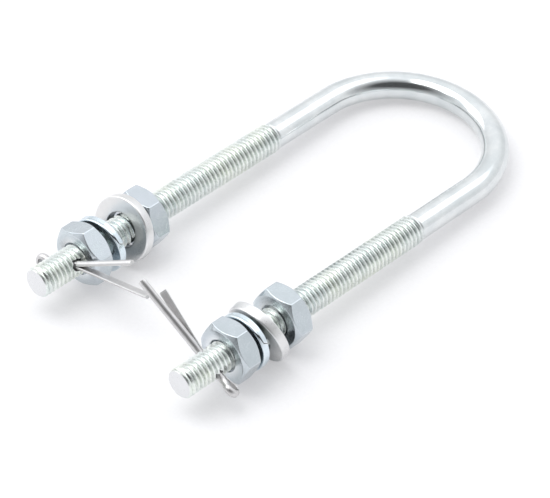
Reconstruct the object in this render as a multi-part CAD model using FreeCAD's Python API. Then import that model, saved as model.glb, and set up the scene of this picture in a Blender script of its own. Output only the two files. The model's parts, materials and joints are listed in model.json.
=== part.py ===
import FreeCAD, Part
import math
import os

# Pipe U-bolt for 1-1/2 in pipe: a round steel rod bent to a U, both legs threaded 3/8-16 and
# cross-drilled near the free end for a split pin.  From the free end inwards each leg carries a
# split pin, an outer hex nut, a spring lock washer, a flat washer and an inner hex nut.
# The U lies flat: the bend and the two flat washers rest on the ground.
#
# Working frame while modelling ("leg frame"): X across the U with 0 midway between the legs,
# Y along the legs from the free ends to the bend, Z square to the U.  place() then lays the
# finished pieces on the ground, with the origin under the middle of the whole assembly.

Vector = FreeCAD.Vector
X_AXIS = Vector(1, 0, 0)
Y_AXIS = Vector(0, 1, 0)
Z_AXIS = Vector(0, 0, 1)
HOME = Vector(0, 0, 0)

# --- driving dimensions, mm and degrees --------------------------------------------------
INCH = 25.4
INSIDE_WIDTH = 2.0 * INCH         # clear width between the plain legs
BLANK_R = 4.325                   # plain rod, the rolling blank of a 3/8 in thread
THREAD_R = 4.725                  # over the thread crests
THREAD_LENGTH = 98.5              # 3-7/8 in of thread on each leg
RUNOUT = 2.0                      # taper from the crests down to the blank
LEG_LENGTH = 123.0                # free end to the start of the bend
END_CHAMFER = 0.45

NUT_FLATS = 11.0 / 16.0 * INCH
NUT_HEIGHT = 7.0
NUT_FACE_R = 8.3                  # flat bearing circle inside the corner chamfer
NUT_CORNER_DROP = 1.4             # how far the chamfer runs down at a corner
NUT_BORE_R = THREAD_R + 0.05      # running fit on the thread
NUT_COUNTERSINK_R = 5.35

FLAT_R = 10.5
FLAT_HOLE_R = 5.55
FLAT_THICK = 3.1
FLAT_EDGE = 0.25

LOCK_R = 9.15
LOCK_HOLE_R = 5.05
LOCK_THICK = 2.6
# The slit, seen on the rim: (through the thickness, round the rim) from the middle of the
# washer at "slit_at".  A tight cut from the rear opens into a long tongue at the front.
LOCK_SLIT = [(-1.35, 4.7), (-0.45, 2.5), (-0.33, 0.1), (1.4, -0.75), (1.4, -0.95),
             (-0.40, -0.1), (-0.95, 2.3), (-1.35, 4.5)]
LOCK_EDGE = 0.2

PIN_STATION = 12.3                # split pin hole, from the free end
PIN_HOLE_R = 1.9
PIN_WIRE_R = 1.3                  # the wire is half round
PIN_GAP = 0.06                    # between the two flats, in the hole
PIN_ROOT = 5.4                    # where the eye starts to open, from the rod's axis
PIN_EYE_CENTRE = 9.5
PIN_EYE_INNER_R = 1.45
PIN_EXIT = 5.2                    # where the prongs start to splay, from the rod's axis
PIN_EXIT_BEND_R = 14.0

GROUND_SLOPE = 2.934              # the legs run down towards the bend
END_HEIGHT = 12.15                # leg axis above the ground at the free ends

# Where each leg's pieces sit.  Stations are along the leg from the free end; "turn" is the
# angle of a nut's corner, "lean" tips a flat washer about X, "yaw" about Z and "rise" lifts
# it.  A lock washer's side at "tip_at" (degrees from +X towards +Z) is tipped towards the bend
# by "tip", and its slit is at "slit_at".  A pin's hole points along "aim" (degrees from +X
# towards +Z) with "skew" towards the bend; its eye stands at "roll" from the leg's direction,
# and the prong tips are given from the rod's axis at the hole.
LEGS = {
    "left": {
        "side": -1,
        "outer_nut": {"start": 15.9, "turn": 81.1},
        "inner_nut": {"start": 39.0, "turn": 57.3},
        "flat": {"centre": 35.36, "lean": -12.4, "yaw": 3.8, "rise": 0.14},
        "lock": {"centre": 25.6, "tip": 7.0, "tip_at": -23.4, "slit_at": 30.0},
        "pin": {"aim": 23.5, "skew": 8.5, "roll": 84.0,
                "short_tip": Vector(21.6, 5.7, 10.4), "long_tip": Vector(31.2, 2.7, 6.5)},
    },
    "right": {
        "side": 1,
        "outer_nut": {"start": 17.15, "turn": 65.0},
        "inner_nut": {"start": 38.5, "turn": 60.0},
        "flat": {"centre": 32.1, "lean": 16.5, "yaw": 2.0, "rise": 0.0},
        "lock": {"centre": 25.9, "tip": 2.7, "tip_at": -13.0, "slit_at": 30.0},
        "pin": {"aim": 155.5, "skew": 0.0, "roll": -36.0,
                "short_tip": Vector(-21.3, 1.7, 13.1), "long_tip": Vector(-26.3, -1.7, 16.0)},
    },
}

LEG_X = INSIDE_WIDTH / 2 + BLANK_R


def turned(profile, axis_x=0.0):
    """Solid of revolution about a line along Y at X = axis_x; profile is (radius, y) pairs."""
    points = [Vector(axis_x + radius, y, 0) for radius, y in profile]
    face = Part.Face(Part.makePolygon(points + points[:1]))
    return face.revolve(Vector(axis_x, 0, 0), Y_AXIS, 360)


def tube(outer_r, inner_r, height, edge):
    """Washer blank centred on the origin along Y, with its four edges broken by `edge`."""
    half = height / 2
    return turned([
        (inner_r + edge, -half), (outer_r - edge, -half), (outer_r, -half + edge),
        (outer_r, half - edge), (outer_r - edge, half), (inner_r + edge, half),
        (inner_r, half - edge), (inner_r, -half + edge)])


def half_round(centre, along, flat_normal):
    """Half-disc outline across the wire: its flat side passes through `centre`."""
    side = along.cross(flat_normal).normalize() * PIN_WIRE_R
    arc = Part.Arc(centre - side, centre + flat_normal * PIN_WIRE_R, centre + side)
    chord = Part.LineSegment(centre + side, centre - side)
    return Part.Wire([arc.toShape(), chord.toShape()])


def rounded_corner(before, corner, after, radius):
    """Line, tangent arc, line through `corner`; returns the arc's two ends and middle."""
    back = (before - corner).normalize()
    ahead = (after - corner).normalize()
    half_turn = (math.pi - back.getAngle(ahead)) / 2
    reach = radius * math.tan(half_turn)
    towards_centre = (back + ahead).normalize()
    to_middle = radius / math.cos(half_turn) - radius
    return corner + back * reach, corner + towards_centre * to_middle, corner + ahead * reach


# --- the pieces, in the leg frame ---------------------------------------------------------
def pin_axes(pin):
    """Directions of a split pin: along its prongs, across between its two halves."""
    aim = math.radians(pin["aim"])
    skew = math.radians(pin["skew"])
    along = Vector(math.cos(aim) * math.cos(skew), math.sin(skew),
                   math.sin(aim) * math.cos(skew))
    level = (Y_AXIS - along * along.dot(Y_AXIS)).normalize()
    upright = level.cross(along)
    if upright.z < 0:
        upright = upright * -1
    roll = math.radians(pin["roll"])
    across = level * math.cos(roll) + upright * math.sin(roll)
    return along, across


def u_rod():
    """Threaded legs, half-ring bend and the two split pin holes."""
    leg_profile = [
        (0, 0), (THREAD_R - END_CHAMFER, 0), (THREAD_R, END_CHAMFER),
        (THREAD_R, THREAD_LENGTH - RUNOUT), (BLANK_R, THREAD_LENGTH),
        (BLANK_R, LEG_LENGTH), (0, LEG_LENGTH)]
    rod = Part.makeTorus(LEG_X, BLANK_R, Vector(0, LEG_LENGTH, 0), Z_AXIS, 0, 360, 180)
    for leg in LEGS.values():
        rod = rod.fuse(turned(leg_profile, leg["side"] * LEG_X))
    for leg in LEGS.values():
        along, _ = pin_axes(leg["pin"])
        centre = Vector(leg["side"] * LEG_X, PIN_STATION, 0)
        drill = Part.makeCylinder(PIN_HOLE_R, 4 * THREAD_R, centre - along * 2 * THREAD_R, along)
        rod = rod.cut(drill)
    return rod.removeSplitter()


def hex_nut(leg, seat):
    """Double-chamfered hex nut with its bore countersunk at both faces."""
    corner_r = NUT_FLATS / 2 / math.cos(math.radians(30))
    corners = []
    for step in range(7):
        angle = math.radians(seat["turn"] + 60 * step)
        corners.append(Vector(corner_r * math.cos(angle), 0, corner_r * math.sin(angle)))
    prism = Part.Face(Part.makePolygon(corners)).extrude(Y_AXIS * NUT_HEIGHT)
    sink = NUT_COUNTERSINK_R - NUT_BORE_R
    envelope = turned([
        (NUT_COUNTERSINK_R, 0), (NUT_FACE_R, 0), (corner_r, NUT_CORNER_DROP),
        (corner_r, NUT_HEIGHT - NUT_CORNER_DROP), (NUT_FACE_R, NUT_HEIGHT),
        (NUT_COUNTERSINK_R, NUT_HEIGHT), (NUT_BORE_R, NUT_HEIGHT - sink), (NUT_BORE_R, sink)])
    nut = prism.common(envelope)
    nut.translate(Vector(leg["side"] * LEG_X, seat["start"], 0))
    return nut


def flat_washer(leg):
    """Plain washer, leaning on the leg as far as its loose hole allows."""
    seat = leg["flat"]
    washer = tube(FLAT_R, FLAT_HOLE_R, FLAT_THICK, FLAT_EDGE)
    washer.rotate(HOME, X_AXIS, seat["lean"])
    washer.rotate(HOME, Z_AXIS, seat["yaw"])
    washer.translate(Vector(leg["side"] * LEG_X, seat["centre"], seat["rise"]))
    return washer


def lock_washer(leg):
    """Rectangular-section ring with one slit, tipped on the leg."""
    seat = leg["lock"]
    ring = tube(LOCK_R, LOCK_HOLE_R, LOCK_THICK, LOCK_EDGE)
    points = [Vector(LOCK_HOLE_R / 2, through, round_rim) for through, round_rim in LOCK_SLIT]
    blade = Part.Face(Part.makePolygon(points + points[:1])).extrude(X_AXIS * LOCK_R)
    blade.rotate(HOME, Y_AXIS, -seat["slit_at"])
    ring = ring.cut(blade)
    tip_at = math.radians(seat["tip_at"])
    hinge_line = Vector(math.sin(tip_at), 0, -math.cos(tip_at))
    ring.rotate(HOME, hinge_line, -seat["tip"])
    ring.translate(Vector(leg["side"] * LEG_X, seat["centre"], 0))
    return ring


def split_pin(leg):
    """Half-round wire folded to an eye, with its prongs spread beyond the leg."""
    pin = leg["pin"]
    along, across = pin_axes(pin)
    half_gap = across * (PIN_GAP / 2)

    # The eye's inner edge: a full arc, opened into the shank by one flare arc on each side.
    span = PIN_EYE_CENTRE - PIN_ROOT
    rise = PIN_GAP / 2
    flare_r = ((span ** 2 + rise ** 2 - PIN_EYE_INNER_R ** 2)
               / (2 * (PIN_EYE_INNER_R - rise)))
    eye_centre = along * -PIN_EYE_CENTRE
    eye_far_end = eye_centre - along * PIN_EYE_INNER_R

    half_edges = {}
    ends = {}
    for name, sense in (("short", 1), ("long", -1)):
        side = across * sense
        offset = half_gap * sense
        root = along * -PIN_ROOT + offset
        flare_centre = root + side * flare_r
        inwards = (eye_centre - flare_centre).normalize()
        tangent = flare_centre + inwards * flare_r
        middle = flare_centre + (inwards - side).normalize() * flare_r
        tip = pin[name + "_tip"]
        bend_in, bend_middle, bend_out = rounded_corner(
            root, along * PIN_EXIT + offset, tip, PIN_EXIT_BEND_R)
        half_edges[name] = [
            Part.LineSegment(tip, bend_out).toShape(),
            Part.Arc(bend_out, bend_middle, bend_in).toShape(),
            Part.LineSegment(bend_in, root).toShape(),
            Part.Arc(root, middle, tangent).toShape()]
        ends[name] = (tip, (bend_out - tip).normalize(), tangent, side)

    eye = Part.Arc(ends["short"][2], eye_far_end, ends["long"][2]).toShape()
    path = Part.Wire(Part.__sortEdges__(half_edges["short"] + [eye] + half_edges["long"]))

    tip, heading, _, side = ends["short"]
    flat_normal = (side - heading * heading.dot(side)).normalize()
    sweep = Part.BRepOffsetAPI.MakePipeShell(path)
    sweep.setFrenetMode(False)
    sweep.add(half_round(tip, heading, flat_normal))
    sweep.build()
    sweep.makeSolid()
    wire = sweep.shape()
    wire.translate(Vector(leg["side"] * LEG_X, PIN_STATION, 0))
    return wire


# --- assembly ------------------------------------------------------------------------------
def build_nodes():
    nodes = {"u_rod": u_rod()}
    for name, leg in LEGS.items():
        nodes[name + "_split_pin"] = split_pin(leg)
        nodes[name + "_outer_nut"] = hex_nut(leg, leg["outer_nut"])
        nodes[name + "_lock_washer"] = lock_washer(leg)
        nodes[name + "_flat_washer"] = flat_washer(leg)
        nodes[name + "_inner_nut"] = hex_nut(leg, leg["inner_nut"])
    return nodes


def place(nodes):
    """Lay the assembly on the ground and put the origin under the middle of its box."""
    for shape in nodes.values():
        shape.rotate(HOME, X_AXIS, -GROUND_SLOPE)
        shape.translate(Z_AXIS * END_HEIGHT)
    box = Part.makeCompound(list(nodes.values())).optimalBoundingBox(False, False)
    for shape in nodes.values():
        shape.translate(Vector(-box.Center.x, -box.Center.y, -box.ZMin))
    return Vector(-box.Center.x, -box.Center.y, END_HEIGHT - box.ZMin)


os.makedirs("parts", exist_ok=True)
pieces = build_nodes()
leg_origin = place(pieces)
print("leg frame origin", leg_origin)
for node, shape in pieces.items():
    print(node, len(shape.Solids), "solid", shape.isValid(), round(shape.Volume, 1), "mm3")
    shape.exportStep("parts/" + node + ".step")
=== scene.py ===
"""Looks of the pipe U-bolt: real rolled threads, chamfered nuts, punched and split washers and
half-round split pins, all zinc plated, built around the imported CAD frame.

Shapes are made in millimetres in a leg's own frame (x across the U, y along the leg from its
free end, z square to the U) and then laid in the CAD frame, which the joints give.
"""
import json
import math

import bmesh
import bpy
from mathutils import Matrix, Vector, noise


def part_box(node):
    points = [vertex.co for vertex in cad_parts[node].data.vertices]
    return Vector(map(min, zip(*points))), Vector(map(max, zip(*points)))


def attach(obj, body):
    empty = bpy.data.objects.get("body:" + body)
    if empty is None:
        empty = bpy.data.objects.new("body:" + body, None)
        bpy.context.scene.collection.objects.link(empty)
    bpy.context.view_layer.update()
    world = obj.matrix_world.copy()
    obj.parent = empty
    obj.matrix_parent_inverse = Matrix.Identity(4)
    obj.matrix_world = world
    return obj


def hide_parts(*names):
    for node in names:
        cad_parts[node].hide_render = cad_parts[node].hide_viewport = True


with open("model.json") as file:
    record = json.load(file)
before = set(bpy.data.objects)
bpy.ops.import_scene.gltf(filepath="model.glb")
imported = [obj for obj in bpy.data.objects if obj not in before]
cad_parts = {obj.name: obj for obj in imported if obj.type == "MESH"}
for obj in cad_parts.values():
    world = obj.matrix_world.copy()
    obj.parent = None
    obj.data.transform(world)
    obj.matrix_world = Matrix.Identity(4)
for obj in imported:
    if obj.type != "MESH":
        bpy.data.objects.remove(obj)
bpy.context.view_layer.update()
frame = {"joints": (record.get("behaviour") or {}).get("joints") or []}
JOINTS = {joint["name"]: joint for joint in frame["joints"]}
MM = 0.001
TURN = 2 * math.pi

# --- dimensions, mm and degrees; stations are along a leg from its free end ------------------
PITCH = 25.4 / 16
THREAD_R = 4.725                  # over the crests
THREAD_DEPTH = 0.86
BLANK_R = 4.325                   # plain rod
BEND_R = 25.4 + BLANK_R
BEND_RIPPLE, BEND_RIPPLE_SCALE = 0.02, 0.09      # unevenness of the plain rod, inwards only
LEG_LENGTH = 123.0
START_DEPTH, START_LENGTH = 0.30, 3.2      # the first turns are shallower
END_ROUNDING, END_LENGTH = 0.54, 0.8
RUNOUT_START, RUNOUT_END = 96.4, 98.5
JOIN_STATION = 99.2               # where the threaded leg's mesh meets the bend's
PIN_STATION = 12.3
PIN_HOLE_R = 1.9

NUT_FLATS = 11 / 16 * 25.4
NUT_HEIGHT = 7.0
NUT_FACE_R = 8.3
NUT_CHAMFER = 0.787               # axial drop of the corner chamfer per mm of radius
NUT_SINK_R = 5.35                 # countersink at both faces
NUT_CORNER_R = 0.55
NUT_EDGE = 0.16                   # how far a chamfer's edges are eased
TAP_CLEARANCE, TAP_CORE_R = 0.09, 4.05
NUT_TURN = {"left_outer_nut": 81.1, "left_inner_nut": 57.3,
            "right_outer_nut": 65.0, "right_inner_nut": 60.0}

FLAT_R, FLAT_HOLE_R, FLAT_THICK = 10.5, 5.55, 3.1
FLAT_EDGES = [0.45, 0.55, 0.32, 0.25]      # rolled over at the front, crisper at the rear
FLAT_RIPPLE, FLAT_RIPPLE_SCALE = 0.05, 0.22
FLAT_LEAN = {"left": (-12.4, 3.8), "right": (16.5, 2.0)}       # about x, then about z

LOCK_R, LOCK_HOLE_R, LOCK_THICK = 9.15, 5.05, 2.6
LOCK_EDGES = [0.3, 0.36, 0.36, 0.3]
LOCK_TAPER = 0.06                 # the wire is thinner at the rim by this on each face
LOCK_OFFSET = 0.05                # half the step between the two ends of the coil
# Station of the middle, tip, and the direction that is tipped towards the bend.
LOCK_SEAT = {"left": (25.6, 7.0, -23.4), "right": (25.9, 2.7, -13.0)}
LOCK_SLIT_AT = 30.0
# The slit's two sides on the rim: (through the thickness, degrees round from the slit's middle).
LOCK_SLIT_UPPER = [(-1.3, 31.0), (-0.45, 16.0), (-0.33, 1.0), (1.3, -5.0)]
LOCK_SLIT_LOWER = [(-1.3, 29.5), (-0.95, 14.5), (-0.40, -0.5), (1.3, -6.0)]

PIN_WIRE_R = 1.3
PIN_GAP = 0.06                    # between the two flats
PIN_CORNER = 0.16                 # broken corner beside each flat
PIN_TIP_TAPER = 0.90
PIN_ROOT, PIN_EYE_CENTRE, PIN_EYE_R, PIN_EXIT = 5.4, 9.5, 1.45, 5.2
PIN_BEND_R = 14.0
# "roll" is the eye's turn about the pin; the tips are from the rod's axis at the hole.
PINS = {
    "left": {"roll": 84.0, "short": (21.6, 5.7, 10.4), "long": (31.2, 2.7, 6.5)},
    "right": {"roll": -36.0, "short": (-21.3, 1.7, 13.1), "long": (-26.3, -1.7, 16.0)},
}

SEGMENTS = 72                     # round the rod
STRAIGHT_ROWS, BEND_ROWS = 14, 84 # along the plain rod
RING_SEGMENTS = 160               # round a washer
DRILL_SEGMENTS = 40
WELD = 0.002                      # points nearer than this are one

# --- the frame -------------------------------------------------------------------------------
AXIS = Vector(JOINTS["left_inner_nut_turn"]["axis"])
ACROSS = Vector((1, 0, 0))
NORMAL = ACROSS.cross(AXIS)


def leg_to_row(side):
    """Matrix from millimetres in a leg's frame to metres in the CAD frame."""
    hole = Vector(JOINTS[side + "_split_pin_turn"]["pos_m"])
    origin = hole - AXIS * PIN_STATION * MM
    turn = Matrix((ACROSS, AXIS, NORMAL)).transposed().to_4x4()
    return Matrix.Translation(origin) @ turn @ Matrix.Scale(MM, 4)


def station_of(joint_name, side):
    """Distance in mm from the leg's free end to a joint's point on the leg axis."""
    local = leg_to_row(side).inverted() @ Vector(JOINTS[joint_name]["pos_m"])
    return local.y


def smooth(low, high, value):
    t = min(1.0, max(0.0, (value - low) / (high - low)))
    return t * t * (3 - 2 * t)


# --- mesh helpers ----------------------------------------------------------------------------
def new_object(name, bm):
    mesh = bpy.data.meshes.new(name)
    bmesh.ops.recalc_face_normals(bm, faces=bm.faces)
    bm.to_mesh(mesh)
    bm.free()
    obj = bpy.data.objects.new(name, mesh)
    bpy.context.scene.collection.objects.link(obj)
    return obj


def boolean(obj, cutter, operation):
    """Applies obj <operation> cutter and removes the cutter."""
    modifier = obj.modifiers.new("cut", "BOOLEAN")
    modifier.operation = operation
    modifier.object = cutter
    modifier.solver = "EXACT"
    bpy.context.view_layer.update()
    depsgraph = bpy.context.evaluated_depsgraph_get()
    cut = bpy.data.meshes.new_from_object(obj.evaluated_get(depsgraph))
    obj.modifiers.clear()
    old = obj.data
    obj.data = cut
    bpy.data.meshes.remove(old)
    bpy.data.objects.remove(cutter)
    return obj


def finish_mesh(obj, matrix, sharp_deg, weighted=False):
    """Smooth shading with sharp edges, the wear attribute, then into the CAD frame."""
    bm = bmesh.new()
    bm.from_mesh(obj.data)
    bmesh.ops.remove_doubles(bm, verts=bm.verts, dist=WELD)
    bmesh.ops.dissolve_degenerate(bm, edges=bm.edges, dist=WELD / 2)
    layer = bm.verts.layers.float.new("wear")
    for vert in bm.verts:
        bends = [e.calc_face_angle_signed(0.0) for e in vert.link_edges if e.is_manifold]
        vert[layer] = max(bends) if bends else 0.0
    bm.to_mesh(obj.data)
    bm.free()
    obj.data.shade_smooth()
    obj.data.set_sharp_from_angle(angle=math.radians(sharp_deg))
    obj.data.transform(matrix)
    if weighted:
        modifier = obj.modifiers.new("facets", "WEIGHTED_NORMAL")
        modifier.mode = "FACE_AREA"
        modifier.weight = 60
        modifier.keep_sharp = True
    return obj


def publish(obj, material, node):
    obj.data.materials.clear()
    obj.data.materials.append(material)
    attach(obj, node)
    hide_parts(node)


def lathe(profile, segments):
    """Closed ring about the y axis from a closed (radius, y) outline."""
    bm = bmesh.new()
    rings = []
    for i in range(segments):
        angle = TURN * i / segments
        rings.append([bm.verts.new((r * math.sin(angle), y, r * math.cos(angle)))
                      for r, y in profile])
    for i in range(segments):
        here, ahead = rings[i], rings[(i + 1) % segments]
        for k in range(len(profile)):
            m = (k + 1) % len(profile)
            bm.faces.new((here[k], ahead[k], ahead[m], here[m]))
    return bm


def rounded_outline(corners, radii, steps=4):
    """Closed outline of (radius, y) points with every corner rounded."""
    outline = []
    count = len(corners)
    for k in range(count):
        before = Vector(corners[k - 1])
        corner = Vector(corners[k])
        after = Vector(corners[(k + 1) % count])
        start = corner + (before - corner).normalized() * radii[k]
        end = corner + (after - corner).normalized() * radii[k]
        for step in range(steps + 1):
            t = step / steps
            outline.append(tuple(start * (1 - t) ** 2 + corner * 2 * t * (1 - t) + end * t * t))
    return outline


# --- thread ----------------------------------------------------------------------------------
# One pitch of the 60 degree profile: (fraction of the pitch, depth from 0 at the crest to 1).
THREAD_PROFILE = [
    (-0.085, 0.09), (-0.045, 0.0), (0.045, 0.0), (0.085, 0.09), (0.225, 0.52), (0.36, 0.93),
    (0.42, 1.0), (0.58, 1.0), (0.64, 0.93), (0.775, 0.52)]


def helical_solid(radius_at, start, end, cap_start=True, cap_end=True):
    """Right-hand threaded bar between two flat ends; radius_at(station, depth) gives its skin."""
    stations = []
    first = math.floor(start / PITCH) - 2
    last = math.ceil(end / PITCH) + 2
    for turn in range(first, last):
        for fraction, depth in THREAD_PROFILE:
            stations.append(((turn + fraction) * PITCH, depth))
    per_pitch = len(THREAD_PROFILE)
    bm = bmesh.new()
    columns = []
    for i in range(SEGMENTS):
        angle = TURN * i / SEGMENTS
        column = []
        for station, depth in stations:
            y = station + PITCH * i / SEGMENTS
            r = radius_at(y, depth)
            column.append(bm.verts.new((r * math.sin(angle), y, r * math.cos(angle))))
        columns.append(column)
    for i in range(SEGMENTS):
        last_column = i == SEGMENTS - 1
        ahead = columns[0] if last_column else columns[i + 1]
        shift = per_pitch if last_column else 0
        for j in range(len(stations) - 1 - shift):
            bm.faces.new((columns[i][j], ahead[j + shift], ahead[j + shift + 1],
                          columns[i][j + 1]))
    for station, normal, cap in ((start, -1, cap_start), (end, 1, cap_end)):
        everything = bm.verts[:] + bm.edges[:] + bm.faces[:]
        cut = bmesh.ops.bisect_plane(bm, geom=everything, plane_co=(0, station, 0),
                                     plane_no=(0, normal, 0), clear_outer=True)
        rim = [e for e in cut["geom_cut"] if isinstance(e, bmesh.types.BMEdge)]
        if cap:
            bmesh.ops.contextual_create(bm, geom=rim)
    return bm


def rod_radius(station, depth):
    """Rolled thread with a rounded, shallow start and a fading run-out onto the plain rod."""
    start_depth = START_DEPTH + (1 - START_DEPTH) * smooth(0.0, START_LENGTH, station)
    radius = THREAD_R - THREAD_DEPTH * depth * start_depth
    fade = smooth(RUNOUT_START, RUNOUT_END, station)
    radius = radius + (BLANK_R - radius) * fade
    if station < END_LENGTH:
        inside = max(0.0, station)
        radius = min(radius, THREAD_R - END_ROUNDING * (1 - inside / END_LENGTH) ** 2)
    return radius


def tap_radius(front, rear):
    """Skin of the tool that cuts a nut's thread and the countersinks at its two faces."""
    def radius_at(station, depth):
        radius = max(THREAD_R + TAP_CLEARANCE - THREAD_DEPTH * depth, TAP_CORE_R)
        sink = NUT_SINK_R - min(station - front, rear - station)
        return max(radius, min(sink, NUT_SINK_R + 0.5))
    return radius_at


# --- u_rod -----------------------------------------------------------------------------------
def pin_axes(side):
    """A split pin's own directions in the leg frame: along its prongs, across its halves."""
    along = Vector(JOINTS[side + "_split_pin_turn"]["axis"])
    along = (leg_to_row(side).to_3x3().inverted() @ along).normalized()
    leg = Vector((0, 1, 0))
    level = (leg - along * along.dot(leg)).normalized()
    upright = level.cross(along)
    if upright.z < 0:
        upright.negate()
    roll = math.radians(PINS[side]["roll"])
    return along, level * math.cos(roll) + upright * math.sin(roll)


def drill(side):
    """Cross hole cutter with a small burred mouth, along the pin's direction."""
    along, _ = pin_axes(side)
    reach = 7.0                       # half its length
    mouth = 4.55                      # where the burr begins, from the rod's axis
    burr = 0.22
    slope = 0.35
    profile = [(PIN_HOLE_R + slope, -reach), (PIN_HOLE_R + burr, -mouth),
               (PIN_HOLE_R, -mouth + slope), (PIN_HOLE_R, mouth - slope),
               (PIN_HOLE_R + burr, mouth), (PIN_HOLE_R + slope, reach)]
    bm = bmesh.new()
    angles = [TURN * i / DRILL_SEGMENTS for i in range(DRILL_SEGMENTS)]
    rings = [[bm.verts.new((r * math.sin(angle), y, r * math.cos(angle))) for angle in angles]
             for r, y in profile]
    for here, ahead in zip(rings, rings[1:]):
        for i in range(DRILL_SEGMENTS):
            m = (i + 1) % DRILL_SEGMENTS
            bm.faces.new((here[i], here[m], ahead[m], ahead[i]))
    bm.faces.new(rings[0])
    bm.faces.new(rings[-1][::-1])
    turn = Vector((0, 1, 0)).rotation_difference(along).to_matrix().to_4x4()
    bm.transform(Matrix.Translation((0, PIN_STATION, 0)) @ turn)
    return new_object("drill_" + side, bm)


def rod_leg(side):
    bm = helical_solid(rod_radius, 0.0, JOIN_STATION, cap_end=False)
    bmesh.ops.holes_fill(bm, edges=[e for e in bm.edges if e.is_boundary], sides=0)
    leg = new_object("leg_" + side, bm)
    boolean(leg, drill(side), "DIFFERENCE")
    sign = -1 if side == "left" else 1
    leg.data.transform(Matrix.Translation((sign * BEND_R, 0, 0)))
    return leg


def u_rod():
    """Both threaded legs joined by the plain half-ring bend, as one closed skin."""
    bm = bmesh.new()
    for side in ("left", "right"):
        leg = rod_leg(side)
        bm.from_mesh(leg.data)
        bpy.data.objects.remove(leg)
    bm.faces.ensure_lookup_table()
    caps = [f for f in bm.faces if all(abs(v.co.y - JOIN_STATION) < 1e-3 for v in f.verts)]
    bmesh.ops.delete(bm, geom=caps, context="FACES_ONLY")
    ends = {"left": [], "right": []}
    for edge in bm.edges:
        if edge.is_boundary:
            ends["left" if edge.verts[0].co.x < 0 else "right"].append(edge)
    rings = []
    centres = []
    for k in range(1, STRAIGHT_ROWS):
        y = JOIN_STATION + (LEG_LENGTH - JOIN_STATION) * k / STRAIGHT_ROWS
        centres.append((Vector((-BEND_R, y, 0)), Vector((1, 0, 0))))
    for k in range(BEND_ROWS + 1):
        turn = math.pi * k / BEND_ROWS
        inwards = Vector((math.cos(turn), -math.sin(turn), 0))
        centres.append((Vector((0, LEG_LENGTH, 0)) - inwards * BEND_R, inwards))
    for k in range(STRAIGHT_ROWS - 1, 0, -1):
        y = JOIN_STATION + (LEG_LENGTH - JOIN_STATION) * k / STRAIGHT_ROWS
        centres.append((Vector((BEND_R, y, 0)), Vector((-1, 0, 0))))
    for centre, inwards in centres:
        ring = []
        for i in range(SEGMENTS):
            angle = TURN * i / SEGMENTS
            spot = centre + inwards * BLANK_R * math.sin(angle)
            spot.z += BLANK_R * math.cos(angle)
            ripple = (noise.noise(spot * BEND_RIPPLE_SCALE) - 1.0) * BEND_RIPPLE
            spot += (spot - centre).normalized() * ripple
            ring.append(bm.verts.new(spot))
        rings.append(ring)
    for here, ahead in zip(rings, rings[1:]):
        for i in range(SEGMENTS):
            m = (i + 1) % SEGMENTS
            bm.faces.new((here[i], here[m], ahead[m], ahead[i]))
    for side, ring in (("left", rings[0]), ("right", rings[-1])):
        loop = [bm.edges.get((ring[i], ring[(i + 1) % SEGMENTS])) for i in range(SEGMENTS)]
        bmesh.ops.bridge_loops(bm, edges=ends[side] + loop)
    bm.transform(Matrix.Translation((BEND_R, 0, 0)))
    return new_object("u_rod_skin", bm)


# --- nuts ------------------------------------------------------------------------------------
def hex_outline(turn_deg):
    """Hexagon across the leg as (angle, radius), with rounded corners."""
    apothem = NUT_FLATS / 2
    outline = []
    for k in range(6):
        middle = math.radians(turn_deg + 60 * k)
        reach = (apothem - NUT_CORNER_R) / math.cos(math.pi / 6)
        centre = Vector((math.cos(middle), math.sin(middle))) * reach
        for step in range(7):
            angle = middle + math.radians(-30 + 10 * step)
            outline.append(centre + Vector((math.cos(angle), math.sin(angle))) * NUT_CORNER_R)
        next_start = Vector((math.cos(middle + math.pi / 3), math.sin(middle + math.pi / 3)))
        next_start *= reach
        angle = middle + math.radians(30)
        goal = next_start + Vector((math.cos(angle), math.sin(angle))) * NUT_CORNER_R
        start = outline[-1]
        for t in (0.04, 0.15, 0.3, 0.4, 0.5, 0.6, 0.7, 0.85, 0.96):
            outline.append(start.lerp(goal, t))
    return outline


def nut_profile(reach):
    """Points (radius, y) from the front face's middle to the rear face's, for one direction."""
    drop = (reach - NUT_FACE_R) * NUT_CHAMFER
    cone = Vector((1, NUT_CHAMFER)).normalized()
    corners = [(Vector((NUT_FACE_R, 0)), Vector((-1, 0)), cone),
               (Vector((reach, drop)), -cone, Vector((0, 1)))]
    front = [Vector((NUT_SINK_R - 1.2, 0)), Vector((NUT_FACE_R - 0.5, 0))]
    for corner, back, ahead in corners:
        start = corner + back * NUT_EDGE
        end = corner + ahead * NUT_EDGE
        for t in (0.0, 0.25, 0.5, 0.75, 1.0):
            front.append(start * (1 - t) ** 2 + corner * 2 * t * (1 - t) + end * t * t)
    front.append(Vector((reach, drop + NUT_EDGE * 2)))
    rear = [Vector((p.x, NUT_HEIGHT - p.y)) for p in reversed(front)]
    return front + rear


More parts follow.
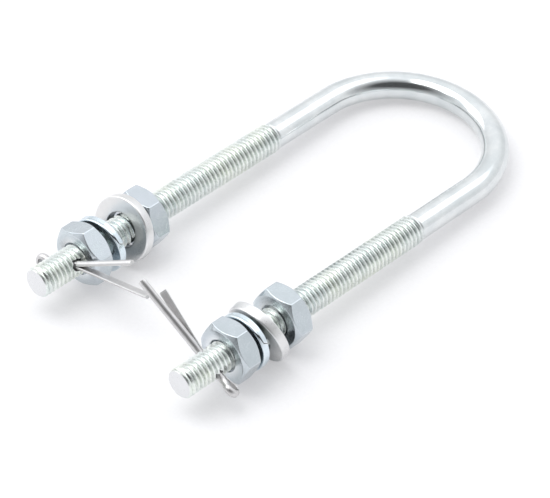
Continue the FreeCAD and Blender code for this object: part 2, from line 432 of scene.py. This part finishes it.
def hex_nut(node, side):
    """Double-chamfered nut, with its internal thread in mesh with the leg's."""
    middle = station_of(node + "_turn", side)
    front = middle - NUT_HEIGHT / 2
    bm = bmesh.new()
    rings = []
    for spot in hex_outline(NUT_TURN[node]):
        reach = spot.length
        away = spot / reach
        rings.append([bm.verts.new((away.x * p.x, front + p.y, away.y * p.x))
                      for p in nut_profile(reach)])
    count = len(rings)
    for i in range(count):
        here, ahead = rings[i], rings[(i + 1) % count]
        for k in range(len(here) - 1):
            bm.faces.new((here[k], here[k + 1], ahead[k + 1], ahead[k]))
    bm.faces.new([ring[0] for ring in rings])
    bm.faces.new([ring[-1] for ring in reversed(rings)])
    nut = new_object(node + "_body", bm)
    tap = new_object(node + "_tap", helical_solid(
        tap_radius(front, front + NUT_HEIGHT), front - 0.6, front + NUT_HEIGHT + 0.6))
    boolean(nut, tap, "DIFFERENCE")
    nut.name = node + "_forged"
    return finish_mesh(nut, leg_to_row(side), sharp_deg=38, weighted=True)


# --- washers ---------------------------------------------------------------------------------
def flat_washer(node, side):
    """Punched disc: rolled-over edge on one face, crisper on the other."""
    half = FLAT_THICK / 2
    corners = [(FLAT_HOLE_R, -half), (FLAT_R, -half), (FLAT_R, half), (FLAT_HOLE_R, half)]
    outline = rounded_outline(corners, FLAT_EDGES, 5)
    bm = lathe(outline, RING_SEGMENTS)
    for vert in bm.verts:
        ripple = noise.noise(vert.co * FLAT_RIPPLE_SCALE + Vector((7, side == "left", 3)))
        vert.co.y += ripple * FLAT_RIPPLE
    lean, yaw = FLAT_LEAN[side]
    turn = (Matrix.Rotation(math.radians(yaw), 4, "Z")
            @ Matrix.Rotation(math.radians(lean), 4, "X"))
    low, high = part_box(node)
    centre = leg_to_row(side).inverted() @ ((low + high) / 2)
    bm.transform(Matrix.Translation(centre) @ turn)
    return finish_mesh(new_object(node + "_disc", bm), leg_to_row(side), sharp_deg=50)


def along_table(table, value):
    """Straight-line reading of a short table of (value, result) pairs."""
    for (low, at_low), (high, at_high) in zip(table, table[1:]):
        if value <= high:
            share = max(0.0, (value - low) / (high - low))
            return at_low + (at_high - at_low) * share
    return table[-1][1]


def with_middle_points(outline, step):
    """The same closed outline with its long sides divided."""
    divided = []
    for here, ahead in zip(outline, outline[1:] + outline[:1]):
        count = max(1, round((Vector(ahead) - Vector(here)).length / step))
        divided += [tuple(Vector(here).lerp(Vector(ahead), k / count)) for k in range(count)]
    return divided


def lock_washer(node, side):
    """Spring washer: keystone-section wire coiled to one turn, slit into a long front tongue."""
    middle, tip, tip_at = LOCK_SEAT[side]
    half = LOCK_THICK / 2
    corners = [(LOCK_HOLE_R, -half), (LOCK_R, -half + LOCK_TAPER), (LOCK_R, half - LOCK_TAPER),
               (LOCK_HOLE_R, half)]
    outline = with_middle_points(rounded_outline(corners, LOCK_EDGES, 5), 0.2)
    bm = bmesh.new()
    rings = []
    for i in range(RING_SEGMENTS + 1):
        share = i / RING_SEGMENTS
        lift = LOCK_OFFSET * (share - 0.5) * 2
        ring = []
        for r, y in outline:
            start = LOCK_SLIT_AT + along_table(LOCK_SLIT_UPPER, y)
            stop = LOCK_SLIT_AT + along_table(LOCK_SLIT_LOWER, y) + 360
            angle = math.radians(start + (stop - start) * share)
            ring.append(bm.verts.new((r * math.cos(angle), y - lift, r * math.sin(angle))))
        rings.append(ring)
    for here, ahead in zip(rings, rings[1:]):
        for k in range(len(outline)):
            m = (k + 1) % len(outline)
            bm.faces.new((here[k], here[m], ahead[m], ahead[k]))
    bm.faces.new(rings[0][::-1])
    bm.faces.new(rings[-1])
    tipped_side = math.radians(tip_at)
    hinge = Vector((math.sin(tipped_side), 0, -math.cos(tipped_side)))
    bm.transform(Matrix.Translation((0, middle, 0))
                 @ Matrix.Rotation(math.radians(-tip), 4, hinge))
    return finish_mesh(new_object(node + "_coil", bm), leg_to_row(side), sharp_deg=55)


# --- split pins ------------------------------------------------------------------------------
def arc_points(start, middle, end, steps):
    """Points on the circle through three points, after `start` up to `end`."""
    a, b = middle - start, end - start
    normal = a.cross(b)
    centre = start + (normal.cross(a) * b.dot(b) + b.cross(normal) * a.dot(a)) / (
        2 * normal.dot(normal))
    spoke = start - centre
    far = end - centre
    total = spoke.angle(far)
    if (middle - centre).angle(spoke) > total + 1e-6 or spoke.cross(far).dot(normal) < 0:
        total = TURN - total
    turn_axis = normal.normalized()
    return [centre + Matrix.Rotation(total * k / steps, 3, turn_axis) @ spoke
            for k in range(1, steps + 1)]


def pin_half(side, name, sense):
    """Inner edge of one half of a pin, from its tip to the eye's flare."""
    along, across = pin_axes(side)
    outward = across * sense
    offset = across * (sense * PIN_GAP / 2)
    span = PIN_EYE_CENTRE - PIN_ROOT
    rise = PIN_GAP / 2
    flare_r = (span ** 2 + rise ** 2 - PIN_EYE_R ** 2) / (2 * (PIN_EYE_R - rise))
    root = along * -PIN_ROOT + offset
    flare_centre = root + outward * flare_r
    eye_centre = along * -PIN_EYE_CENTRE
    inwards = (eye_centre - flare_centre).normalized()
    tangent = flare_centre + inwards * flare_r
    flare_middle = flare_centre + (inwards - outward).normalized() * flare_r
    tip = Vector(PINS[side][name])
    exit_corner = along * PIN_EXIT + offset
    back = (root - exit_corner).normalized()
    ahead = (tip - exit_corner).normalized()
    half_turn = (math.pi - back.angle(ahead)) / 2
    reach = PIN_BEND_R * math.tan(half_turn)
    to_middle = PIN_BEND_R / math.cos(half_turn) - PIN_BEND_R
    bend_out = exit_corner + ahead * reach
    bend_middle = exit_corner + (back + ahead).normalized() * to_middle
    bend_in = exit_corner + back * reach
    points = [tip.lerp(bend_out, k / 24) for k in range(25)]
    points += arc_points(bend_out, bend_middle, bend_in, 8)
    points += [bend_in.lerp(root, k / 14) for k in range(1, 15)]
    points += arc_points(root, flare_middle, tangent, 12)
    return points, outward


def half_round_section():
    """Outline of the wire: (outward from the flat, across the flat), corners broken."""
    r = PIN_WIRE_R
    points = [(0.0, -r + PIN_CORNER), (0.0, -0.5), (0.0, 0.0), (0.0, 0.5),
              (0.0, r - PIN_CORNER)]
    start, stop = 8.0, 172.0
    for k in range(17):
        angle = math.radians(start + (stop - start) * k / 16)
        points.append((r * math.sin(angle), r * math.cos(angle)))
    return points


def split_pin(node, side):
    """One wire from tip to tip, round the eye, with its flats facing each other."""
    short, outward = pin_half(side, "short", 1)
    long_side, _ = pin_half(side, "long", -1)
    along, _ = pin_axes(side)
    far_end = along * -(PIN_EYE_CENTRE + PIN_EYE_R)
    path = short + arc_points(short[-1], far_end, long_side[-1], 30)
    path += long_side[-2::-1]
    section = half_round_section()
    bm = bmesh.new()
    uv_rows = []
    rings = []
    normal = None
    travelled = 0.0
    for k, spot in enumerate(path):
        ahead = path[min(k + 1, len(path) - 1)]
        behind = path[max(k - 1, 0)]
        tangent = (ahead - behind).normalized()
        if normal is None:
            normal = outward.copy()
        normal = (normal - tangent * normal.dot(tangent)).normalized()
        side_way = tangent.cross(normal)
        if k:
            travelled += (spot - behind).length
        ring = [bm.verts.new(spot + normal * a + side_way * b) for a, b in section]
        rings.append(ring)
        uv_rows.append(travelled)
    for end in (rings[0], rings[-1]):
        middle = sum((v.co for v in end), Vector()) / len(end)
        for vert in end:
            vert.co = middle + (vert.co - middle) * PIN_TIP_TAPER
    uv_layer = bm.loops.layers.uv.new("wire")
    count = len(section)
    for j, (here, ahead) in enumerate(zip(rings, rings[1:])):
        for k in range(count):
            m = (k + 1) % count
            face = bm.faces.new((here[k], here[m], ahead[m], ahead[k]))
            spots = ((uv_rows[j], k), (uv_rows[j], k + 1), (uv_rows[j + 1], k + 1),
                     (uv_rows[j + 1], k))
            for loop, spot in zip(face.loops, spots):
                loop[uv_layer].uv = (spot[0] * 0.01, spot[1] / count)
    bm.faces.new(rings[0][::-1])
    bm.faces.new(rings[-1])
    bm.transform(Matrix.Translation((0, PIN_STATION, 0)))
    return finish_mesh(new_object(node + "_wire", bm), leg_to_row(side), sharp_deg=50)


# --- materials -------------------------------------------------------------------------------
WEAR_BEND = (0.12, 0.7)           # edge angles, radians: the worn tone begins and is full
WORN_ZINC = (0.96, 0.97, 0.98)
# Painted shade: the dark tone laid into gaps and thread roots where parts close in.
GAP_SHADE_TONE = (0.16, 0.18, 0.19)
THREAD_SHADE_REACH = 0.0015               # m, how far a thread's flank looks for the next one when painting shade in the roots
BUMP_DEPTH = 0.00004              # m
SAWN_LAYER = (0.00001, 0.00003)   # m from the free end, where the sawn face's tone fades
ZINC_METALLIC = 0.95


class Nodes:
    """Small helper that adds nodes to a material or a world and links them."""

    def __init__(self, owner):
        self.owner = owner
        owner.use_nodes = True
        self.tree = owner.node_tree

    def add(self, kind, settings=None, **inputs):
        node = self.tree.nodes.new(kind)
        for key, value in (settings or {}).items():
            setattr(node, key, value)
        for key, value in inputs.items():
            socket = node.inputs[key.replace("_", " ")]
            if hasattr(value, "is_output"):
                self.tree.links.new(value, socket)
            else:
                socket.default_value = value
        return node

    def ramp(self, fac, stops):
        node = self.add("ShaderNodeValToRGB", Fac=fac)
        elements = node.color_ramp.elements
        while len(elements) < len(stops):
            elements.new(0.5)
        for element, (place, colour) in zip(elements, stops):
            element.position = place
            element.color = (*colour, 1.0)
        return node.outputs["Color"]

    def noise(self, vector, scale, detail=3.0, roughness=0.5):
        node = self.add("ShaderNodeTexNoise", Vector=vector, Scale=scale, Detail=detail,
                        Roughness=roughness)
        return node.outputs["Fac"]

    def spread(self, value, low, high, to_low, to_high, interpolation="LINEAR"):
        node = self.add("ShaderNodeMapRange", {"interpolation_type": interpolation})
        self.tree.links.new(value, node.inputs["Value"])
        node.inputs["From Min"].default_value = low
        node.inputs["From Max"].default_value = high
        node.inputs["To Min"].default_value = to_low
        node.inputs["To Max"].default_value = to_high
        return node.outputs["Result"]

    def math(self, operation, first, second):
        node = self.add("ShaderNodeMath", {"operation": operation})
        for socket, value in zip(node.inputs, (first, second)):
            if hasattr(value, "is_output"):
                self.tree.links.new(value, socket)
            else:
                socket.default_value = value
        return node.outputs[0]

    def along(self, vector, direction):
        """How far a vector reaches in a direction."""
        node = self.add("ShaderNodeVectorMath", {"operation": "DOT_PRODUCT"})
        self.tree.links.new(vector, node.inputs[0])
        node.inputs[1].default_value = direction
        return node.outputs["Value"]

    def mix(self, fac, first, second):
        node = self.add("ShaderNodeMix", {"data_type": "RGBA", "blend_type": "MIX"})
        for socket, value in ((node.inputs["Factor"], fac), (node.inputs[6], first),
                              (node.inputs[7], second)):
            if hasattr(value, "is_output"):
                self.tree.links.new(value, socket)
            else:
                socket.default_value = value if socket == node.inputs["Factor"] else (*value, 1)
        return node.outputs[2]

    def shade_in_gaps(self, tone, reach, depth):
        """Darkens a tone as painted shade where parts or thread flanks close in on the surface.
        """
        gap = self.add("ShaderNodeAmbientOcclusion", {"samples": 8}, Distance=reach)
        open_share = self.spread(gap.outputs["AO"], 0.15, 0.75, depth, 1.0)
        return self.mix(open_share, GAP_SHADE_TONE, tone)

    def object_point(self):
        return self.add("ShaderNodeTexCoord").outputs["Object"]

    def attribute(self, name):
        return self.add("ShaderNodeAttribute", {"attribute_name": name}).outputs["Fac"]

    def worn(self, tone, bends, share, worn_tone):
        """Paler tone along edges that stand proud."""
        edge = self.spread(self.attribute("wear"), *bends, 0.0, share)
        return self.mix(edge, tone, worn_tone)

    def finish(self, colour, roughness, height, strength, distance, metallic):
        links = self.tree.links
        shader = self.tree.nodes["Principled BSDF"]
        links.new(colour, shader.inputs["Base Color"])
        links.new(roughness, shader.inputs["Roughness"])
        bump = self.add("ShaderNodeBump", Strength=strength, Distance=distance)
        links.new(height, bump.inputs["Height"])
        links.new(bump.outputs["Normal"], shader.inputs["Normal"])
        shader.inputs["Metallic"].default_value = metallic
        return self.owner


def new_material(name):
    return Nodes(bpy.data.materials.new(name))


def zinc_grain(n, grain):
    """Clouds, broad patches and fine crystals, and the height that they give the surface."""
    point = n.object_point()
    cloud = n.noise(point, 240.0, 4.0, 0.6)
    patch = n.noise(point, 90.0, 2.0, 0.5)
    fine = n.noise(point, grain, 3.0, 0.6)
    height = n.math("ADD", n.math("MULTIPLY", cloud, 0.6), n.math("MULTIPLY", fine, 0.4))
    return cloud, patch, fine, height


def plated(name, pale, deep, warm, rough, bump, grain, gap_reach=0.004, gap_depth=0.8):
    """Zinc plate: cloudy tone, faint colour cast, fine crystal grain, brighter worn edges.

    Painted shade: the tone is darkened within gap_reach (m) of a neighbour, down to gap_depth of
    itself.
    """
    n = new_material(name)
    cloud, patch, fine, height = zinc_grain(n, grain)
    tone = n.ramp(cloud, [(0.30, deep), (0.62, pale)])
    cast = n.spread(patch, 0.45, 0.70, 0.0, 0.55)
    tone = n.mix(cast, tone, warm)
    tone = n.worn(tone, WEAR_BEND, 0.5, WORN_ZINC)
    # painted shade near neighbouring parts
    tone = n.shade_in_gaps(tone, gap_reach, gap_depth)
    rough_cloud = n.spread(cloud, 0.3, 0.7, rough[0], rough[1])
    roughness = n.math("ADD", rough_cloud, n.spread(fine, 0.3, 0.7, -0.03, 0.05))
    return n.finish(tone, roughness, height, bump, BUMP_DEPTH, ZINC_METALLIC)


def rod_plate():
    """Zinc over the whole rod: rough and greenish on the rolled thread, smooth on the bend."""
    n = new_material("zinc_rod")
    cloud, patch, fine, height = zinc_grain(n, 5200.0)
    point = n.object_point()
    # Rolled thread: pale green, yellower in patches, with dark flecks and painted shade in the
    # roots.
    thread_tone = n.ramp(cloud, [(0.30, (0.68, 0.74, 0.72)), (0.62, (0.90, 0.94, 0.91))])
    thread_tone = n.mix(n.spread(patch, 0.45, 0.70, 0.0, 0.6), thread_tone, (0.90, 0.93, 0.80))
    flecks = n.noise(point, 1700.0, 2.0, 0.7)
    thread_tone = n.mix(n.spread(flecks, 0.56, 0.68, 0.0, 0.55), thread_tone, (0.40, 0.44, 0.38))
    thread_tone = n.shade_in_gaps(thread_tone, THREAD_SHADE_REACH, 0.0)
    # Plain rod: smooth and a little greyer.
    plain_tone = n.ramp(cloud, [(0.30, (0.69, 0.72, 0.73)), (0.62, (0.78, 0.80, 0.80))])
    plain_tone = n.mix(n.spread(patch, 0.45, 0.65, 0.0, 0.6), plain_tone, (0.62, 0.66, 0.67))
    # Which of the two shows, and the sawn end faces, go by the distance from the free ends.
    start = leg_to_row("left").translation.dot(AXIS)
    station = n.math("SUBTRACT", n.along(point, AXIS), start)
    plain = n.spread(station, (RUNOUT_START - 0.5) * MM, RUNOUT_END * MM, 0.0, 1.0)
    tone = n.mix(plain, thread_tone, plain_tone)
    sawn = n.spread(station, *SAWN_LAYER, 1.0, 0.0)
    tone = n.mix(sawn, tone, (0.59, 0.59, 0.60))
    tone = n.worn(tone, WEAR_BEND, 0.5, WORN_ZINC)
    rough_thread = n.spread(fine, 0.3, 0.7, 0.16, 0.32)
    rough_plain = n.spread(fine, 0.3, 0.7, 0.09, 0.15)
    step = n.math("SUBTRACT", rough_plain, rough_thread)
    roughness = n.math("ADD", rough_thread, n.math("MULTIPLY", step, plain))
    return n.finish(tone, roughness, height, 0.22, BUMP_DEPTH, ZINC_METALLIC)


def pin_steel():
    """Drawn wire: dull warm grey with fine lines along its length."""
    n = new_material("pin_steel_drawn")
    point = n.object_point()
    wire = n.add("ShaderNodeUVMap", {"uv_map": "wire"}).outputs["UV"]
    stretch = n.add("ShaderNodeMapping", Vector=wire)
    stretch.inputs["Scale"].default_value = (4.0, 60.0, 1.0)
    lines = n.noise(stretch.outputs["Vector"], 3.0, 4.0, 0.7)
    cloud = n.noise(point, 300.0, 3.0, 0.6)
    tone = n.ramp(cloud, [(0.3, (0.62, 0.61, 0.61)), (0.7, (0.74, 0.73, 0.73))])
    tone = n.mix(n.spread(lines, 0.4, 0.65, 0.0, 0.35), tone, (0.33, 0.32, 0.31))
    tone = n.worn(tone, (0.15, 0.8), 0.4, (0.86, 0.86, 0.85))
    roughness = n.spread(lines, 0.3, 0.7, 0.32, 0.48)
    return n.finish(tone, roughness, lines, 0.25, 0.00003, 1.0)


def floor_material():
    """Matt white paper with a barely visible tooth."""
    n = new_material("paper_floor")
    point = n.object_point()
    tooth = n.noise(point, 900.0, 3.0, 0.6)
    tone = n.ramp(tooth, [(0.3, (0.60, 0.60, 0.61)), (0.7, (0.63, 0.63, 0.64))])
    roughness = n.spread(tooth, 0.3, 0.7, 0.85, 0.95)
    material = n.finish(tone, roughness, tooth, 0.05, 0.0001, 0.0)
    shader = n.tree.nodes["Principled BSDF"]
    shader.inputs["Specular IOR Level"].default_value = 0.1
    shader.inputs["Emission Color"].default_value = (1.0, 0.99, 1.0, 1.0)
    shader.inputs["Emission Strength"].default_value = 0.36
    return material


# --- studio ----------------------------------------------------------------------------------
CAMERA_AZIMUTH, CAMERA_ELEVATION, CAMERA_ROLL = 44.79, 43.249, -0.5
CAMERA_DISTANCE = 1.0702
CAMERA_AIM = Vector((0.000906, -0.0103, 0.0))
CAMERA_LENS, SENSOR_WIDTH = 234.08, 36.0

# The tent's tone by height above the horizon (sine of the elevation).
TENT_STOPS = [(0.0, (0.99, 1.00, 1.02)), (0.25, (0.95, 0.97, 0.99)), (0.72, (1.21, 1.23, 1.26))]
TENT_STRENGTH = 0.95
# The darker room on the tent's open side, wider than it is tall: (degrees off, level).
ROOM_STOPS = [(50, 1.0), (37, 0.62), (26, 0.32), (18, 0.06)]
ROOM_WIDENING = 0.30
# The whiter panel overhead.
PANEL_TOWARDS = Vector((0.15, 0.52, 0.84)).normalized()
PANEL_EDGE = (25, 16)             # degrees from its middle
PANEL_LEVEL = 1.45
FLOOR_HALF, FLOOR_CELLS = 4.0, 8
FLOOR_DROP = 0.00005              # m, keeps the paper clear of the resting faces


def add_camera():
    azimuth, elevation = math.radians(CAMERA_AZIMUTH), math.radians(CAMERA_ELEVATION)
    ahead = Vector((-math.sin(azimuth) * math.cos(elevation),
                    math.cos(azimuth) * math.cos(elevation), -math.sin(elevation)))
    right = ahead.cross(Vector((0, 0, 1))).normalized()
    up = right.cross(ahead)
    roll = Matrix.Rotation(math.radians(CAMERA_ROLL), 3, -ahead)
    right, up = roll @ right, roll @ up
    data = bpy.data.cameras.new("photo_camera")
    data.lens = CAMERA_LENS
    data.sensor_width = SENSOR_WIDTH
    data.clip_start = 0.01
    camera = bpy.data.objects.new("photo_camera", data)
    bpy.context.scene.collection.objects.link(camera)
    turn = Matrix((right, up, -ahead)).transposed().to_4x4()
    camera.matrix_world = Matrix.Translation(CAMERA_AIM - ahead * CAMERA_DISTANCE) @ turn
    bpy.context.scene.camera = camera
    return -ahead


def softbox(name, place, target, size, power, colour):
    data = bpy.data.lights.new(name, "AREA")
    data.shape = "RECTANGLE"
    data.size, data.size_y = size
    data.energy = power
    data.color = colour
    lamp = bpy.data.objects.new(name, data)
    lamp.location = place
    lamp.rotation_euler = (Vector(target) - Vector(place)).to_track_quat("-Z", "Y").to_euler()
    bpy.context.scene.collection.objects.link(lamp)


def studio_world(dark_side):
    """Pale tent with a whiter panel overhead and the darker room on its open side."""
    world = bpy.data.worlds.new("tent")
    n = Nodes(world)
    bpy.context.scene.world = world
    where = n.add("ShaderNodeTexCoord").outputs["Generated"]
    height = n.along(where, Vector((0, 0, 1)))
    tone = n.ramp(height, TENT_STOPS)
    facing = n.along(where, dark_side)
    sideways = n.along(where, dark_side.cross(Vector((0, 0, 1))).normalized())
    widening = n.math("MULTIPLY", n.math("MULTIPLY", sideways, sideways), ROOM_WIDENING)
    room = n.ramp(n.math("ADD", widening, facing),
                  [(math.cos(math.radians(angle)), (level, level, level))
                   for angle, level in ROOM_STOPS])
    outer, inner = (math.cos(math.radians(angle)) for angle in PANEL_EDGE)
    glow = n.spread(n.along(where, PANEL_TOWARDS), outer, inner, 1.0, PANEL_LEVEL, "SMOOTHSTEP")
    dimmed = n.add("ShaderNodeVectorMath", {"operation": "MULTIPLY"})
    n.tree.links.new(tone, dimmed.inputs[0])
    n.tree.links.new(room, dimmed.inputs[1])
    lit = n.add("ShaderNodeVectorMath", {"operation": "SCALE"}, Scale=glow)
    n.tree.links.new(dimmed.outputs["Vector"], lit.inputs[0])
    background = n.tree.nodes["Background"]
    n.tree.links.new(lit.outputs["Vector"], background.inputs["Color"])
    background.inputs["Strength"].default_value = TENT_STRENGTH


def add_floor():
    bm = bmesh.new()
    step = 2 * FLOOR_HALF / FLOOR_CELLS
    ticks = [-FLOOR_HALF + step * i for i in range(FLOOR_CELLS + 1)]
    grid = [[bm.verts.new((x, y, 0.0)) for y in ticks] for x in ticks]
    for i in range(FLOOR_CELLS):
        for j in range(FLOOR_CELLS):
            bm.faces.new((grid[i][j], grid[i + 1][j], grid[i + 1][j + 1], grid[i][j + 1]))
    floor = new_object("paper_sweep", bm)
    floor.location.z = -FLOOR_DROP
    floor.data.materials.append(floor_material())


# --- build -----------------------------------------------------------------------------------
rod_metal = rod_plate()
nut_metal = plated("zinc_nut", (0.60, 0.655, 0.685), (0.56, 0.61, 0.64), (0.60, 0.63, 0.69),
                   (0.20, 0.26), 0.02, 4200.0)
# Washers: painted shade reaches 8 mm from a neighbour and goes fully to the dark gap tone.
washer_metal = plated("zinc_washer", (0.79, 0.79, 0.79), (0.71, 0.71, 0.71), (0.78, 0.77, 0.75),
                      (0.26, 0.34), 0.06, 3600.0, 0.008, 0.0)
spring_metal = plated("zinc_spring", (0.76, 0.84, 0.89), (0.66, 0.75, 0.81), (0.74, 0.84, 0.89),
                      (0.14, 0.22), 0.04, 4200.0)
wire_metal = pin_steel()

rod = finish_mesh(u_rod(), leg_to_row("left"), sharp_deg=40)
publish(rod, rod_metal, "u_rod")
for side in ("left", "right"):
    for place in ("outer", "inner"):
        node = side + "_" + place + "_nut"
        publish(hex_nut(node, side), nut_metal, node)
    node = side + "_flat_washer"
    publish(flat_washer(node, side), washer_metal, node)
    node = side + "_lock_washer"
    publish(lock_washer(node, side), spring_metal, node)
    node = side + "_split_pin"
    publish(split_pin(node, side), wire_metal, node)

towards_camera = add_camera()
studio_world(towards_camera)
softbox("overhead", (-0.35, -0.25, 1.1), (0, 0, 0), (0.8, 0.8), 5.0, (1.0, 0.99, 0.98))
softbox("side_fill", (-0.9, -0.3, 0.6), (0, 0, 0), (0.7, 0.7), 1.6, (0.95, 0.98, 1.0))
add_floor()
bpy.context.scene.view_settings.view_transform = "Standard"
